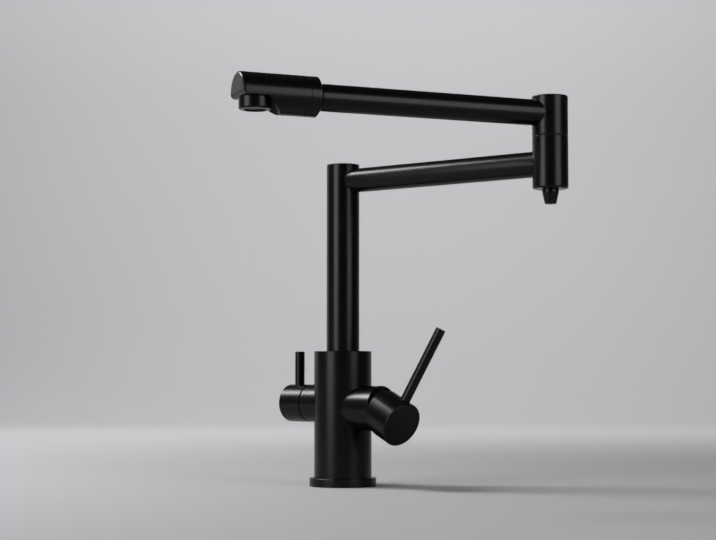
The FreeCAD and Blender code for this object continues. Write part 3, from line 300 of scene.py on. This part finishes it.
def make_camera():
    """The camera at the photograph's viewing angle."""
    data = bpy.data.cameras.new("camera")
    data.lens = CAMERA_LENS
    data.sensor_width = CAMERA_SENSOR
    data.sensor_fit = "HORIZONTAL"
    camera = add_object("camera", data)
    camera.location = CAMERA_PLACE
    camera.rotation_euler = (math.radians(CAMERA_TILT), 0, math.radians(CAMERA_TURN))
    scene.camera = camera


def paper():
    """The matte pale paper of the floor and the wall."""
    material, _, shader = new_material("paper")
    shader.inputs["Base Color"].default_value = (*STAGE_COLOUR, 1)
    shader.inputs["Roughness"].default_value = STAGE_ROUGHNESS
    shader.inputs["Specular IOR Level"].default_value = STAGE_SPECULAR
    return material


def make_stage():
    """A floor under the faucet that sweeps up into a wall behind it."""
    outline = [(-STAGE_REACH, 0)]
    for step in range(SWEEP_STEPS + 1):
        angle = step / SWEEP_STEPS * math.pi / 2
        distance = WALL_DISTANCE - SWEEP_RADIUS + SWEEP_RADIUS * math.sin(angle)
        outline.append((distance, SWEEP_RADIUS - SWEEP_RADIUS * math.cos(angle)))
    outline.append((WALL_DISTANCE, WALL_HEIGHT))
    side = ACROSS * STAGE_REACH
    points = []
    for distance, height in outline:
        middle = AWAY * distance + Vector((0, 0, height))
        points += [tuple(middle - side), tuple(middle + side)]
    faces = [(i, i + 1, i + 3, i + 2) for i in range(0, len(points) - 2, 2)]
    add_object("backdrop", smooth_mesh("backdrop", points, faces, paper()))


def lamp(name, place, rotation, width, height, power, beam):
    """An area lamp that the camera doesn't see, with its beam's full angle."""
    data = bpy.data.lights.new(name, "AREA")
    data.shape = "RECTANGLE"
    data.size = width
    data.size_y = height
    data.energy = power
    data.color = LAMP_COLOUR
    data.spread = math.radians(beam)
    holder = add_object(name, data)
    holder.location = place
    holder.rotation_euler = rotation
    holder.visible_camera = False


def facing(place, aim):
    """The rotation of a lamp at a place that faces a point."""
    return (place - aim).to_track_quat("Z", "Y").to_euler()


def softbox(name, direction, distance, width, height, power, beam=WIDE_BEAM):
    """A lamp that faces the faucet from a direction."""
    place = LAMP_CENTRE + Vector(direction).normalized() * distance
    lamp(name, place, facing(place, LAMP_CENTRE), width, height, power, beam)


def wall_lamp(name, distance, height, aim_height, width, depth, power):
    """A lamp above and behind the faucet that lights the wall."""
    place = AWAY * distance + Vector((0, 0, height))
    aim = AWAY * WALL_DISTANCE + Vector((0, 0, aim_height))
    lamp(name, place, facing(place, aim), width, depth, power, WIDE_BEAM)


def floor_lamp(name, away, across, height, width, depth, power, beam):
    """A narrow lamp that looks straight down beside the faucet, with its width across the view."""
    place = AWAY * away + ACROSS * across + Vector((0, 0, height))
    rotation = (0, 0, math.atan2(-AWAY.x, AWAY.y))
    lamp(name, place, rotation, width, depth, power, beam)


def make_world():
    """A dim grey world, which fills what the lamps leave dark."""
    world = bpy.data.worlds.new("studio")
    world.use_nodes = True
    background = world.node_tree.nodes["Background"]
    background.inputs["Color"].default_value = (*WORLD_COLOUR, 1)
    scene.world = world


def make_softboxes():
    """Two tall boxes for the long highlights, two windows from above, and a fill."""
    softbox(
        "left_box", direction=(-0.18, -0.97, 0.26), distance=SOFTBOX_DISTANCE,
        width=0.8, height=1.0, power=5.2, beam=110,
    )
    softbox(
        "right_box", direction=(0.99, 0.03, 0.29), distance=SOFTBOX_DISTANCE,
        width=0.8, height=0.9, power=8,
    )
    softbox(
        "window", direction=(-0.62, -0.33, 0.71), distance=SOFTBOX_DISTANCE,
        width=0.32, height=0.55, power=14.5,
    )
    softbox(
        "side_window", direction=(-0.776, -0.20, 0.60), distance=SOFTBOX_DISTANCE,
        width=0.4, height=0.5, power=10,
    )
    softbox(
        "left_fill", direction=(-1.0, 0.09, 0.2), distance=FILL_DISTANCE,
        width=1.2, height=1.0, power=1.8,
    )


def make_stage_lamps():
    """Lamps that light the wall, and the floor on every side of the faucet."""
    wall_lamp("wall_light", distance=1.3, height=1.5, aim_height=0.7, width=3.0, depth=0.4, power=38)
    floor_lamp(
        "front_floor_light", away=-FLOOR_LAMP_DISTANCE, across=0, height=FLOOR_LAMP_HEIGHT,
        width=FLOOR_LAMP_LENGTH, depth=FLOOR_LAMP_DEPTH, power=20, beam=FLOOR_LAMP_BEAM,
    )
    sides = {"right_floor_light": -FLOOR_LAMP_DISTANCE, "left_floor_light": FLOOR_LAMP_DISTANCE}
    for name, across in sides.items():
        floor_lamp(
            name, away=0, across=across, height=FLOOR_LAMP_HEIGHT,
            width=FLOOR_LAMP_DEPTH, depth=FLOOR_LAMP_LENGTH, power=30, beam=FLOOR_LAMP_BEAM,
        )
    floor_lamp("back_floor_light", away=1.25, across=0, height=2.0, width=2.0, depth=0.8, power=2, beam=50)


paint_nodes()
make_shank()
make_camera()
make_stage()
make_world()
make_softboxes()
make_stage_lamps()

scene.view_settings.view_transform = "Standard"
